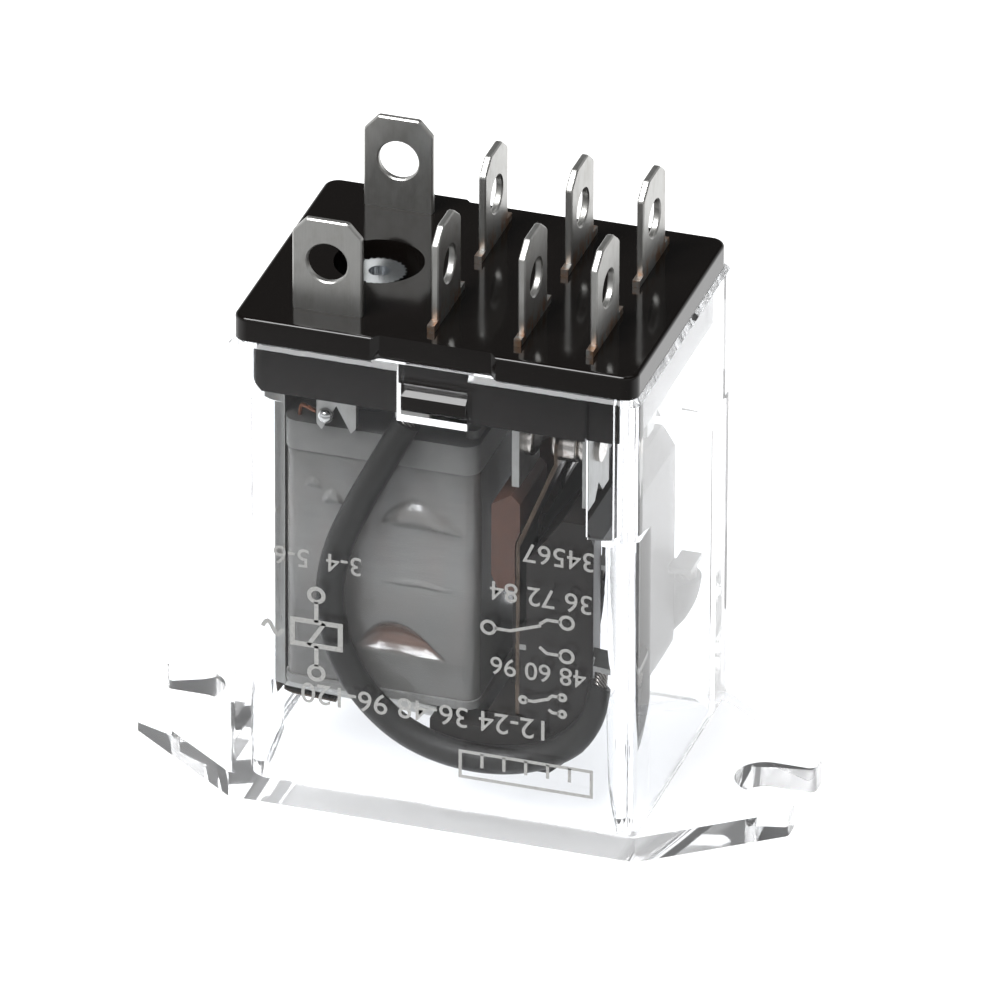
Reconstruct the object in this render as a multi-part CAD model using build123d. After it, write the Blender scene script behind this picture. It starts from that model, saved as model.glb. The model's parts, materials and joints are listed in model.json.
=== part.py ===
"""Plug-in power relay with a clear flange-mount cover, standing on its cover's closed end.

Millimetres. +Z is up, out of the blades. The origin is the centre of the flange's flat end face.
X runs along the two mounting ears and Y across them. Parts with a front and a back version are
mirror images in Y: the front one is on the -Y side.
"""
from build123d import *
import math
import os

# ---- driving dimensions -------------------------------------------------------------------------
BODY_X = 28.0          # cover, along the ears
BODY_Y = 20.5          # cover, across the ears
COVER_TOP = 34.2       # rim of the cover
WALL = 0.9             # cover walls
END_WALL = 1.4         # closed end of the cover
FLANGE_T = 1.85        # mounting ears
EAR_TIP_X = 22.55      # half the overall length
EAR_TIP_Y = 3.8        # half width of an ear at its tip
SLOT_R = 2.08          # ear slot, half its width
SLOT_X = 19.8          # centre of the slot's round inner end
WINDOW = (2.4, 30.2, 32.8)      # latch window: half width, bottom, top
RIB = (10.35, 12.15, 0.5, 23.3)  # keying ribs: inner x, outer x, depth, lower end
RIM_BEVEL = 0.35       # bevel on the outside of the cover's rim
CORNER_R = 2.8         # thick corners inside the cover: radius
CORNER_TOP = {1: 23.3, -1: 29.9}    # their upper ends, on the right and on the left

PLATE = (13.75, 10.1, 35.9)     # base plate: half x, half y, top
SKIRT = (-12.75, 12.6, 9.2, 30.4)   # base skirt: left, right, half y, lower end
NOTCH = (3.8, 0.5)     # shallow notch in the plate's long edges: half width, depth
LATCH = (2.2, 0.8, 31.0, 31.9, 32.7)    # latch nose: half x, how far out, underside, lip, root of slope
CORE_HOLE_R = 3.0      # opening in the base over the core's staked end

BLADE_W = 4.75         # 0.187 inch tabs
BLADE_T = 0.5
BLADE_ROOT = 35.2      # where the tabs start, inside the base plate
COIL_BLADE = (-8.0, 7.45, 42.6)     # coil tabs: x, y, top
COIL_CORNER = (0.95, 1.05)          # cropped corners of the coil tabs: across, down
COIL_FORK = (0.75, 1.35, 27.4, 29.3)    # coil tab's tail: shift in x, half width, prong end, crotch
COIL_TAB_HOLE = (1.38, 39.5)        # radius, height
ROW_Y = 5.0            # the two contact rows
CONTACT_TOP = 42.75
CONTACT_CORNER = (1.25, 0.95)       # cropped corners of the contact tabs
CONTACT_TAB_HOLE = (1.28, 39.4)
COMMON_X = -0.75
OPEN_X = 5.15
CLOSED_X = 10.05
SHOULDER = (0.85, 36.4)             # staked shoulders: how far they stand out, top
BLADE_BEVEL = 0.09     # bevel round a blade and its hole
COMMON_TAIL = (4.4, 29.6, 0.0)      # tail of each contact terminal: width, lower end, joggle in x
OPEN_TAIL = (4.4, 25.1, -0.3)
CLOSED_TAIL = (4.4, 24.3, -0.4)
TAIL_NOTCH = (0.9, 1.0)             # V cut in the closed tail's end: half width, depth
LUG = (-2.95, -8.5, -6.4, 29.6)     # solder lug on the common tail: left, front, back, lower face

COIL_X = -6.95         # core and coil axis
CORE = (1.9, 4.2, 1.0)              # core section: half x, half y, corner radius
TENON_R = 1.87
TENON_TOP = 35.2
TENON_TEETH = 26       # knurl round the staked end
TENON_TOOTH = 0.22
POLE = (2.6, 5.2, 0.7)              # pole head: half x, half y, thickness
POLE_Z = 6.9           # pole face, and the lower edge of the yoke
WINDING = (4.0, 6.5, 3.5)          # winding: half x, half y, corner radius
WINDING_Z = (8.25, 25.2)
FLANGES = (-11.2, 2.15, 7.0)        # bobbin flanges: left, right, half y
BARRIER = (0.9, 1.85, 5.8)          # wall between coil and contacts: left, right, half y
UPPER_FLANGE_TOP = 27.3
TAPE = (-11.15, 2.1, 6.85, 1.0)     # tape round coil and wall: left, right, half y, corner radius
TAPE_T = 0.15

# Route of the coil's end wire over the upper flange to the terminal's tail.
COIL_LEAD_ROUTE = [(-10.3, -6.0, 27.3), (-10.1, -6.3, 28.3), (-9.3, -7.2, 28.6), (-8.7, -7.45, 28.55)]
COIL_LEAD_R = 0.14
SOLDER = (0.05, 28.5, 0.55)         # solder bead: shift in x, height, radius

YOKE_X = (-12.7, -11.3)             # yoke leg
YOKE_Y = 6.1
YOKE_FOOT_Z = (31.9, 33.3)

PIVOT = (-13.0, 6.88)  # armature pivot on the yoke's lower edge: x, z
REST_ANGLE = 3.0       # how far the armature hangs open, degrees
ARMATURE_T = 1.3
ARMATURE_HEEL_R = 1.2  # rounding of its lower edge at the pivot
HINGE_SPRING = (0.2, 5.6, 24.0)     # hinge spring: thickness, half width, top on the yoke
HINGE_BEND_R = 1.5     # inside radius of its bend
ARMATURE_Y = 4.8
ARMATURE_X = (-12.6, 6.0)

CARRIER_Y = 7.1
# Outline of the carrier in x and z.
CARRIER = [
    (2.95, 4.0), (7.2, 4.0), (10.5, 7.0), (10.5, 21.6), (9.6, 23.0), (8.0, 23.0),
    (5.6, 19.6), (5.6, 7.9), (2.95, 7.9),
]
TONGUE = (3.3, 5.7, 2.8, 7.8, 18.6)     # carrier's tongue: left, right, half y, low, top
CHEEK = (-1.0, 3.2, 4.95, 4.6, 6.7)     # arms beside the armature: left, right, inner y, low, top
SPRING_FOOT_TOP = 14.4              # top of the ledge behind each spring's foot
# Narrow wall between the two poles' springs, in x and z.
POLE_WALL = [(4.4, 15.9), (8.9, 15.9), (8.9, 24.6), (7.4, 24.6), (4.4, 18.6)]
POLE_WALL_Y = 0.7
CARRIER_RIVET = (0.5, 0.85, 0.35, 7.4)  # shank radius, head radius, head thickness, x of its end
CARRIER_RIVET_Z = (9.4, 12.4)
TAG = (12.1, -6.9, -5.6, 12.85, 13.25)  # lead tag: right, front, back, low, top
TAG_LUG = (10.7, -8.1)              # its lug under the lead: left, front
SPRING_X = 4.95        # moving spring, where it leaves the carrier
SPRING_T = 0.25
SPRING_Y = (2.9, 6.9)
SPRING_LEAN_Z = (20.5, 26.9)        # where the spring starts and stops leaning
SPRING_LOW = 7.0
SPRING_TOP = 29.15
TIP_X = 7.5            # moving spring at its contact
CONTACT_Z = 27.9
CONTACT_R = 1.35
MOVING_HEADS = (0.45, 1.05)         # moving contact: head to the open side, to the closed side
OPEN_HEAD = 0.6        # heads of the fixed contacts
CLOSED_HEAD = 0.69
BACKING_Y = (1.2, 7.0)
# Outline of the fibre backing in x and z, from its lower left corner round to the upper left one.
BACKING = [
    (3.15, 18.2), (3.6, 17.2), (4.77, 17.2), (4.77, 20.75), (5.1, 21.6), (5.1, 23.7), (4.5, 24.3),
    (3.15, 23.4),
]
SLEEVE_R = 0.95
SLEEVE_BORE_R = 0.65
WIRE_R = 0.6

# Route of the front flexible lead, from the common terminal down, under the armature's end and up
# to the tag on the carrier.
LEAD_ROUTE = [
    (-2.2, -7.8, 29.3), (-3.7, -8.2, 26.3), (-5.5, -8.25, 22.7), (-6.95, -8.25, 19.3),
    (-7.6, -8.25, 16.0), (-7.25, -8.25, 12.7), (-6.15, -8.25, 9.9), (-4.5, -8.25, 7.7),
    (-2.3, -8.25, 6.0), (0.4, -8.25, 5.1), (3.4, -8.25, 4.9), (6.3, -8.25, 5.5),
    (8.7, -8.25, 6.8), (10.2, -8.25, 8.5), (11.05, -8.05, 10.4), (11.4, -7.4, 12.6),
]

SIDES = {"front": -1, "back": 1}
parts = {}


# ---- small helpers ------------------------------------------------------------------------------
def slab(x0, x1, y0, y1, z0, z1):
    """A box from its two corners."""
    return Pos((x0 + x1) / 2, (y0 + y1) / 2, (z0 + z1) / 2) * Box(x1 - x0, y1 - y0, z1 - z0)


def post(half_x, half_y, radius, z0, z1, x=COIL_X):
    """An upright block with rounded corners, centred on (x, 0)."""
    return Pos(x, 0, z0) * extrude(RectangleRounded(2 * half_x, 2 * half_y, radius), z1 - z0)


def rod(radius, z0, z1, x, y=0.0):
    """An upright cylinder."""
    return Pos(x, y, (z0 + z1) / 2) * Cylinder(radius, z1 - z0)


def rod_x(radius, x0, x1, y, z):
    """A cylinder along X."""
    return Pos((x0 + x1) / 2, y, z) * Rot(0, 90, 0) * Cylinder(radius, x1 - x0)


def prism_y(points, y0, y1):
    """A polygon of (x, z) points, extruded from y0 to y1."""
    face = make_face(Plane.XZ * Polyline(*points, close=True))
    return Pos(0, y0, 0) * extrude(face, y1 - y0, dir=(0, 1, 0))


def prism_x(points, x0, x1):
    """A polygon of (y, z) points, extruded from x0 to x1."""
    face = make_face(Plane.YZ * Polyline(*points, close=True))
    return Pos(x0, 0, 0) * extrude(face, x1 - x0, dir=(1, 0, 0))


def prism_z(points, z0, z1):
    """A polygon of (x, y) points, extruded from z0 to z1."""
    face = make_face(Polyline(*points, close=True))
    return Pos(0, 0, z0) * extrude(face, z1 - z0, dir=(0, 0, 1))


def upright(shape):
    """The edges of a shape that run along Z."""
    return shape.edges().filter_by(Axis.Z)


def to_side(shape, side):
    """A shape made for the front (-Y) side, moved to the side asked for."""
    return shape if side < 0 else mirror(shape, about=Plane.XZ)


def at_rest(shape):
    """Turns a shape modelled with the armature closed to the open rest position."""
    px, pz = PIVOT
    return Pos(px, 0, pz) * Rot(0, REST_ANGLE, 0) * Pos(-px, 0, -pz) * shape


def corner_radii(points):
    """The largest arc that each corner of a route leaves room for."""
    spots = [Vector(*p) for p in points]
    radii = []
    for a, b, c in zip(spots, spots[1:], spots[2:]):
        turn = math.radians((b - a).get_angle(c - b))
        run = min((b - a).length, (c - b).length)
        radii.append(0.45 * run / math.tan(turn / 2))
    return radii


def tube(points, radius, bore=0.0):
    """A round cord along a route, solid or with a bore."""
    path = FilletPolyline(*points, radius=corner_radii(points))
    section = Plane(origin=path @ 0, z_dir=path % 0) * Circle(radius)
    if bore:
        section -= Plane(origin=path @ 0, z_dir=path % 0) * Circle(bore)
    return sweep(section, path=path)


# ---- clear cover --------------------------------------------------------------------------------
def make_ear(sign):
    """One mounting ear: a tapering plate with an open-ended slot."""
    points = [
        (0, -BODY_Y / 2), (BODY_X / 2, -BODY_Y / 2), (EAR_TIP_X, -EAR_TIP_Y),
        (EAR_TIP_X, EAR_TIP_Y), (BODY_X / 2, BODY_Y / 2), (0, BODY_Y / 2),
    ]
    ear = prism_z(points, 0, FLANGE_T)
    ear -= rod(SLOT_R, -1, FLANGE_T + 1, SLOT_X)
    ear -= slab(SLOT_X, EAR_TIP_X + 1, -SLOT_R, SLOT_R, -1, FLANGE_T + 1)
    tips = [e for e in upright(ear) if abs(e.center().X - EAR_TIP_X) < 0.01]
    ear = fillet(tips, 0.5)
    return ear if sign > 0 else mirror(ear, about=Plane.YZ)


def make_cover():
    half_x, half_y = BODY_X / 2, BODY_Y / 2
    body = slab(-half_x, half_x, -half_y, half_y, 0, COVER_TOP)
    body = fillet(upright(body), 0.5)
    body = chamfer(body.faces().sort_by(Axis.Z)[-1].edges(), RIM_BEVEL)
    body += make_ear(1) + make_ear(-1)
    cavity = slab(WALL - half_x, half_x - WALL, WALL - half_y, half_y - WALL, END_WALL, COVER_TOP + 1)
    cavity = fillet(upright(cavity), 0.9)
    cavity = fillet(cavity.faces().sort_by(Axis.Z)[0].edges(), 0.5)
    body -= cavity
    corner_x = half_x - WALL - CORNER_R
    corner_y = half_y - WALL - CORNER_R
    for side, top in CORNER_TOP.items():
        for sign in (-1, 1):
            along = sorted((side * corner_x, side * (half_x - WALL / 2)))
            across = sorted((sign * corner_y, sign * (half_y - WALL / 2)))
            corner = slab(*along, *across, END_WALL - 0.1, top)
            body += corner - rod(CORNER_R, 0, COVER_TOP, side * corner_x, sign * corner_y)
    half_window, low, high = WINDOW
    inner_x, outer_x, depth, rib_end = RIB
    for sign in (-1, 1):
        face_y = sign * half_y
        body -= slab(-half_window, half_window, face_y - 1.5, face_y + 1.5, low, high)
        lead_in = sorted((face_y, face_y - sign * 0.35))
        body -= slab(-half_window, half_window, *lead_in, high, COVER_TOP)
        wall_y = sign * (half_y - WALL)
        rib = sorted((wall_y + sign * 0.1, wall_y - sign * depth))
        body += slab(inner_x, outer_x, *rib, rib_end, COVER_TOP)
    return body


# ---- blade terminals ----------------------------------------------------------------------------
def make_tab(width, low, top, corner_x, corner_z, hole):
    """A flat tab in the YZ plane, centred on x = 0, y = 0: cropped top, round hole, bevelled rims."""
    half = width / 2
    points = [
        (-half, low), (half, low), (half, top - corner_z), (half - corner_x, top),
        (corner_x - half, top), (-half, top - corner_z),
    ]
    tab = prism_x(points, -BLADE_T / 2, BLADE_T / 2)
    tops = [e for e in tab.edges().filter_by(Axis.X) if e.center().Z > low + 1]
    tab = fillet(tops, 0.35)
    radius, hole_z = hole
    tab -= rod_x(radius, -1, 1, 0, hole_z)
    rims = tab.faces().sort_by(Axis.X)[0].edges() + tab.faces().sort_by(Axis.X)[-1].edges()
    return chamfer(rims, BLADE_BEVEL)


def make_contact_terminal(x, tail):
    """A tab of the front contact row: blade, staked shoulders and the tail inside the cover."""
    reach, shoulder_top = SHOULDER
    tail_width, tail_end, joggle = tail
    half = BLADE_W / 2
    half_t = BLADE_T / 2
    piece = make_tab(BLADE_W, BLADE_ROOT, CONTACT_TOP, *CONTACT_CORNER, CONTACT_TAB_HOLE)
    piece += slab(-half_t, half_t, -half - reach, half + reach, BLADE_ROOT - 0.2, shoulder_top)
    piece += slab(joggle - half_t, half_t, -tail_width / 2, tail_width / 2, BLADE_ROOT - 0.5, BLADE_ROOT)
    piece += slab(
        joggle - half_t, joggle + half_t, -tail_width / 2, tail_width / 2, tail_end, BLADE_ROOT - 0.2
    )
    return Pos(x, -ROW_Y, 0) * piece


def make_common_terminal():
    """Common terminal: its tail ends in a lug that the flexible lead is soldered to."""
    left, front, back, low = LUG
    piece = make_contact_terminal(COMMON_X, COMMON_TAIL)
    return piece + slab(left, COMMON_X, front, back, low, low + BLADE_T)


def make_closed_terminal():
    """Closed terminal: its tail ends in a V cut."""
    width, low, joggle = CLOSED_TAIL
    half, depth = TAIL_NOTCH
    piece = make_contact_terminal(CLOSED_X, CLOSED_TAIL)
    notch = [(-ROW_Y - half, low - 0.1), (-ROW_Y, low + depth), (-ROW_Y + half, low - 0.1)]
    return piece - prism_x(notch, CLOSED_X + joggle - BLADE_T, CLOSED_X + joggle + BLADE_T)


def make_coil_terminal():
    """Coil tab: broad face to the front, with a forked tail."""
    x, y, top = COIL_BLADE
    shift, half, prong_end, crotch = COIL_FORK
    piece = make_tab(BLADE_W, BLADE_ROOT, top, *COIL_CORNER, COIL_TAB_HOLE)
    piece = Pos(x, -y, 0) * Rot(0, 0, -90) * piece
    middle = x + shift
    tail = [
        (middle - half, BLADE_ROOT), (middle - half, prong_end + 0.4), (middle - half + 0.35, prong_end),
        (middle, crotch), (middle + half - 0.35, prong_end), (middle + half, prong_end + 0.4),
        (middle + half, BLADE_ROOT),
    ]
    return piece + prism_y(tail, -y - BLADE_T / 2, -y + BLADE_T / 2)


def make_rivet(x, direction, head_t):
    """Contact rivet in a terminal tail: a domed face, a shank through the tail and a peened end."""
    near = x + direction * BLADE_T / 2
    far = x - direction * BLADE_T / 2
    face = near + direction * head_t
    head = rod_x(CONTACT_R, *sorted((near, face)), -ROW_Y, CONTACT_Z)
    rim = head.faces().sort_by(Axis.X)[-1 if direction > 0 else 0].edges()
    head = fillet(rim, 0.3)
    head += rod_x(0.6, *sorted((near, far)), -ROW_Y, CONTACT_Z)
    return head + rod_x(0.95, *sorted((far, far - direction * 0.3)), -ROW_Y, CONTACT_Z)


# ---- base ---------------------------------------------------------------------------------------
def make_base(terminals):
    half_x, half_y, top = PLATE
    left, right, skirt_y, skirt_end = SKIRT
    plate = slab(-half_x, half_x, -half_y, half_y, COVER_TOP, top)
    plate = fillet(upright(plate), 1.0)
    plate = fillet(plate.faces().sort_by(Axis.Z)[-1].edges(), 0.25)
    half_notch, depth = NOTCH
    for sign in (-1, 1):
        edge = sign * half_y
        points = [
            (-half_notch - 0.5, edge + sign), (-half_notch - 0.5, edge),
            (-half_notch, edge - sign * depth), (half_notch, edge - sign * depth),
            (half_notch + 0.5, edge), (half_notch + 0.5, edge + sign),
        ]
        plate -= prism_z(points, COVER_TOP - 1, top + 1)
    skirt = slab(left, right, -skirt_y, skirt_y, skirt_end, COVER_TOP)
    skirt = fillet(upright(skirt), 0.8)
    bevel = [(left - 1, skirt_end - 1), (left + 1.9, skirt_end - 1), (left - 1, skirt_end + 1.9)]
    skirt -= prism_y(bevel, -half_y, half_y)
    rib_x, _, rib_depth, _ = RIB
    for sign in (-1, 1):
        groove = sorted((sign * (skirt_y + 0.1), sign * (skirt_y - rib_depth + 0.05)))
        skirt -= slab(rib_x - 0.15, right + 0.1, *groove, skirt_end - 0.1, COVER_TOP)
    # Pocket for the yoke's foot, open to the left where the yoke's leg goes down.
    skirt -= slab(left - 0.1, -2.6, -YOKE_Y - 0.15, YOKE_Y + 0.15, skirt_end - 0.1, 33.35)
    base = plate + skirt
    base -= rod(CORE_HOLE_R, YOKE_FOOT_Z[1] - 0.3, top + 1, COIL_X)
    latch_x, latch_out, latch_low, latch_lip, latch_top = LATCH
    for sign in (-1, 1):
        latch = [
            (sign * (skirt_y - 0.1), latch_low), (sign * (skirt_y + latch_out), latch_low),
            (sign * (skirt_y + latch_out), latch_lip), (sign * (skirt_y - 0.1), latch_top),
        ]
        base += prism_x(latch, -latch_x, latch_x)
    for terminal in terminals:
        base -= terminal
    return base


# ---- coil and magnet ----------------------------------------------------------------------------
def make_core():
    half_x, half_y, radius = CORE
    pole_x, pole_y, pole_t = POLE
    core = post(half_x, half_y, radius, POLE_Z + pole_t, YOKE_FOOT_Z[0])
    core += post(pole_x, pole_y, 1.2, POLE_Z, POLE_Z + pole_t)
    core += rod(TENON_R, YOKE_FOOT_Z[0], YOKE_FOOT_Z[1], COIL_X)
    ring = []
    for i in range(2 * TENON_TEETH):
        reach = TENON_R if i % 2 == 0 else TENON_R - TENON_TOOTH
        angle = math.pi * i / TENON_TEETH
        ring.append((reach * math.cos(angle), reach * math.sin(angle)))
    core += Pos(COIL_X, 0, 0) * prism_z(ring, YOKE_FOOT_Z[1], TENON_TOP)
    return core - rod(0.7, TENON_TOP - 0.35, TENON_TOP + 1, COIL_X)


def make_shading_ring():
    """Copper loop let into the pole face round about a third of it."""
    outer = post(1.15, 4.6, 0.5, POLE_Z, POLE_Z + 0.45, COIL_X - 1.15)
    return outer - post(0.65, 4.1, 0.3, POLE_Z - 1, POLE_Z + 1, COIL_X - 1.15)


def make_yoke():
    left, inner = YOKE_X
    foot_low, foot_top = YOKE_FOOT_Z
    leg = slab(left, inner, -YOKE_Y, YOKE_Y, POLE_Z, foot_top)
    foot = slab(left, -3.0, -YOKE_Y, YOKE_Y, foot_low, foot_top)
    yoke = leg + foot
    outer_edge = [
        e for e in yoke.edges().filter_by(Axis.Y)
        if abs(e.center().X - left) < 0.1 and abs(e.center().Z - foot_top) < 0.1
    ]
    yoke = fillet(outer_edge, 1.5)
    inner_edge = [
        e for e in yoke.edges().filter_by(Axis.Y)
        if abs(e.center().X - inner) < 0.1 and abs(e.center().Z - foot_low) < 0.1
    ]
    yoke = fillet(inner_edge, 0.4)
    return yoke - rod(TENON_R, foot_low - 1, foot_top + 1, COIL_X)


def make_bobbin():
    left, right, half_y = FLANGES
    wind_low, wind_top = WINDING_Z
    centre = (left + right) / 2
    half_x = (right - left) / 2
    low = POLE_Z + POLE[2] + 0.05
    flanges = post(half_x, half_y, 1.0, low, wind_low, centre)
    flanges += post(half_x, half_y, 1.0, wind_top, UPPER_FLANGE_TOP, centre)
    wall_left, wall_right, wall_y = BARRIER
    wall = slab(wall_left, wall_right, -wall_y, wall_y, low, UPPER_FLANGE_TOP + 0.6)
    flanges += fillet(upright(wall), 0.45)
    core_x, core_y, core_r = CORE
    spool = post(core_x + 0.75, core_y + 0.75, core_r + 0.5, wind_low, wind_top)
    bobbin = flanges + spool
    return bobbin - post(core_x + 0.05, core_y + 0.05, core_r, low - 1, UPPER_FLANGE_TOP + 1)


def make_winding():
    half_x, half_y, radius = WINDING
    core_x, core_y, core_r = CORE
    wind_low, wind_top = WINDING_Z
    winding = post(half_x, half_y, radius, wind_low, wind_top)
    return winding - post(core_x + 0.75, core_y + 0.75, core_r + 0.5, wind_low - 1, wind_top + 1)


def make_tape():
    """Tape wound round the coil and the wall beside it, so that its front and back lie flat."""
    left, right, half_y, radius = TAPE
    centre = (left + right) / 2
    half_x = (right - left) / 2
    wind_low, wind_top = WINDING_Z
    outer = post(half_x, half_y, radius, wind_low, wind_top, centre)
    inner = post(half_x - TAPE_T, half_y - TAPE_T, radius - TAPE_T, wind_low - 1, wind_top + 1, centre)
    return outer - inner


def make_coil_lead():
    """Enamelled wire from the winding, over the upper flange, to the coil terminal's tail."""
    return tube(COIL_LEAD_ROUTE, COIL_LEAD_R)


def make_solder():
    """Solder bead over the coil wire on the terminal's tail."""
    x, y, _ = COIL_BLADE
    shift, z, radius = SOLDER
    face = -y - BLADE_T / 2
    bead = Pos(x + shift, face, z) * Sphere(radius)
    return bead & slab(x - 2, x + 2, face - 2, face, z - 2, z + 2)


# ---- armature and moving contacts ---------------------------------------------------------------
def make_armature():
    px, pz = PIVOT
    left, right = ARMATURE_X
    plate = slab(left, right, -ARMATURE_Y, ARMATURE_Y, pz - ARMATURE_T, pz)
    plate = fillet(upright(plate), 0.6)
    heel = plate.edges().filter_by(Axis.Y).sort_by(Axis.X)[:2].sort_by(Axis.Z)[0]
    plate = fillet(heel, ARMATURE_HEEL_R)
    return at_rest(plate)


def make_hinge_spring():
    """Bent leaf: one arm lies on the yoke's outer face, the other under the armature."""
    thickness, half_y, top = HINGE_SPRING
    pz = PIVOT[1]
    face = YOKE_X[0] - 0.03
    low = pz - ARMATURE_T - 0.25
    bend_x = face + HINGE_BEND_R
    bend_z = low + HINGE_BEND_R
    outer_r = HINGE_BEND_R + thickness
    arm = slab(face - thickness, face, -half_y, half_y, bend_z, top)
    ring = Pos(bend_x, 0, bend_z) * Rot(90, 0, 0) * Cylinder(outer_r, 2 * half_y)
    ring -= Pos(bend_x, 0, bend_z) * Rot(90, 0, 0) * Cylinder(HINGE_BEND_R, 4 * half_y)
    ring &= slab(bend_x - outer_r, bend_x, -half_y, half_y, bend_z - outer_r, bend_z)
    under_y = ARMATURE_Y - 0.8
    under = at_rest(slab(bend_x - 0.3, -8.5, -under_y, under_y, low + 0.09 - thickness, low + 0.09))
    return arm + ring + under


def make_moving_spring():
    """Strip that leaves the carrier upright, leans out, and is upright again at its contact."""
    half = SPRING_T / 2
    lean_low, lean_high = SPRING_LEAN_Z
    points = [
        (SPRING_X - half, SPRING_LOW), (SPRING_X + half, SPRING_LOW), (SPRING_X + half, lean_low),
        (TIP_X + half, lean_high), (TIP_X + half, SPRING_TOP), (TIP_X - half, SPRING_TOP),
        (TIP_X - half, lean_high + 0.15), (SPRING_X - half, lean_low + 0.15),
    ]
    inner_y, outer_y = SPRING_Y
    strip = prism_y(points, -outer_y, -inner_y)
    tips = [e for e in strip.edges().filter_by(Axis.X) if e.center().Z > SPRING_TOP - 0.1]
    return fillet(tips, 1.2)


def make_spring_backing():
    """Fibre block that the spring springs back against; its outer face follows the spring's lean."""
    inner_y, outer_y = BACKING_Y
    return prism_y(BACKING, -outer_y, -inner_y)


def make_moving_contact():
    """Contact with a domed face on both sides of the spring's tip."""
    half = SPRING_T / 2
    left_head, right_head = MOVING_HEADS
    left = rod_x(CONTACT_R, TIP_X - half - left_head, TIP_X - half, -ROW_Y, CONTACT_Z)
    left = fillet(left.faces().sort_by(Axis.X)[0].edges(), 0.3)
    right = rod_x(CONTACT_R, TIP_X + half, TIP_X + half + right_head, -ROW_Y, CONTACT_Z)
    right = fillet(right.faces().sort_by(Axis.X)[-1].edges(), 0.3)
    return left + right + rod_x(0.6, TIP_X - half, TIP_X + half, -ROW_Y, CONTACT_Z)


def make_carrier_rivets():
    """Two rivets that clamp the spring of the front pole to the carrier."""
    rivets = []
    front = SPRING_X - SPRING_T / 2
    shank_r, head_r, head_t, end = CARRIER_RIVET
    for z in CARRIER_RIVET_Z:
        shank = rod_x(shank_r, front, end, -ROW_Y, z)
        rivets.append(shank + rod_x(head_r, front - head_t, front, -ROW_Y, z))
    return Compound(children=rivets)


def make_lead_tag():
    """Copper tag from the spring through the carrier to the flexible lead's end."""
    right, front, back, low, top = TAG
    outside, lug_front = TAG_LUG
    tag = slab(SPRING_X + SPRING_T / 2, right, front, back, low, top)
    return tag + slab(outside, right, lug_front, back, low, top)


def make_carrier(inserts):
    """Moulded block on the armature's free end that holds both poles' springs."""
    block = prism_y(CARRIER, -CARRIER_Y, CARRIER_Y)
    # Tongue that carries the springs and the fibre backing on its two sides.
    left, right, tongue_y, low, top = TONGUE
    block += slab(left, right, -tongue_y, tongue_y, low, top)
    arm_left, arm_right, arm_y, arm_low, arm_top = CHEEK
    for sign in (-1, 1):
        foot = sorted((sign * (tongue_y - 0.1), sign * SPRING_Y[1]))
        block += slab(SPRING_X - SPRING_T / 2, right, *foot, low, SPRING_FOOT_TOP)
        arm = sorted((sign * arm_y, sign * CARRIER_Y))
        block += slab(arm_left, arm_right, *arm, arm_low, arm_top)
    block += prism_y(POLE_WALL, -POLE_WALL_Y, POLE_WALL_Y)
    for insert in inserts:
        block -= insert
    return block


def make_all():
    parts["clear_cover"] = make_cover()
    common = make_common_terminal()
    opened = make_contact_terminal(OPEN_X, OPEN_TAIL)
    closed = make_closed_terminal()
    coil = make_coil_terminal()
    open_rivet = make_rivet(OPEN_X + OPEN_TAIL[2], 1, OPEN_HEAD)
    closed_rivet = make_rivet(CLOSED_X + CLOSED_TAIL[2], -1, CLOSED_HEAD)
    opened -= open_rivet
    closed -= closed_rivet
    spring = make_moving_spring()
    contact = make_moving_contact()
    rivets = make_carrier_rivets()
    tag = make_lead_tag()
    spring -= contact
    for rivet in rivets.children:
        spring -= rivet
    start, first = Vector(*LEAD_ROUTE[0]), Vector(*LEAD_ROUTE[1])
    last, end = Vector(*LEAD_ROUTE[-2]), Vector(*LEAD_ROUTE[-1])
    sleeve_route = [start + (first - start) * 0.12, *LEAD_ROUTE[1:-1], end + (last - end) * 0.35]
    sleeve_route = [tuple(Vector(p)) for p in sleeve_route]
    wire = tube(LEAD_ROUTE, WIRE_R)
    sleeve = tube(sleeve_route, SLEEVE_R, SLEEVE_BORE_R)
    one_side = {
        "coil_terminal": coil, "common_terminal": common, "open_terminal": opened,
        "closed_terminal": closed, "open_contact": open_rivet, "closed_contact": closed_rivet,
        "coil_lead": make_coil_lead(), "coil_solder": make_solder(), "moving_spring": spring,
        "spring_backing": make_spring_backing(), "moving_contact": contact, "carrier_rivets": rivets,
        "lead_tag": tag, "lead_wire": wire, "lead_sleeve": sleeve,
    }
    for name, shape in one_side.items():
        for side, sign in SIDES.items():
            parts[f"{name}_{side}"] = to_side(shape, sign)
    terminals = [
        parts[f"{kind}_terminal_{side}"]
        for kind in ("coil", "common", "open", "closed") for side in SIDES
    ]
    parts["terminal_base"] = make_base(terminals)
    ring = make_shading_ring()
    parts["shading_ring"] = ring
    parts["core"] = make_core() - ring
    parts["yoke"] = make_yoke()
    parts["bobbin"] = make_bobbin()
    parts["coil_winding"] = make_winding()
    parts["coil_tape"] = make_tape()
    parts["hinge_spring"] = make_hinge_spring()
    armature = make_armature()
    parts["armature"] = armature
    inserts = [armature]
    for side in SIDES:
        for name in ("moving_spring", "spring_backing", "lead_tag"):
            inserts.append(parts[f"{name}_{side}"])
        inserts.extend(parts[f"carrier_rivets_{side}"].solids())
    parts["contact_carrier"] = make_carrier(inserts)


make_all()
os.makedirs("parts", exist_ok=True)
for name, shape in parts.items():
    export_step(shape, f"parts/{name}.step")
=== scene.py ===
"""Looks of the plug-in relay: materials, the soft or printed details round the CAD frame, light and camera.

The scene is in metres in the frame's own axes: +Z up out of the blades, X along the ears, front at -Y.
The constants below are in millimetres unless they say otherwise.
"""
import json
import math

import bmesh
import bpy
from mathutils import Matrix, Vector


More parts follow.
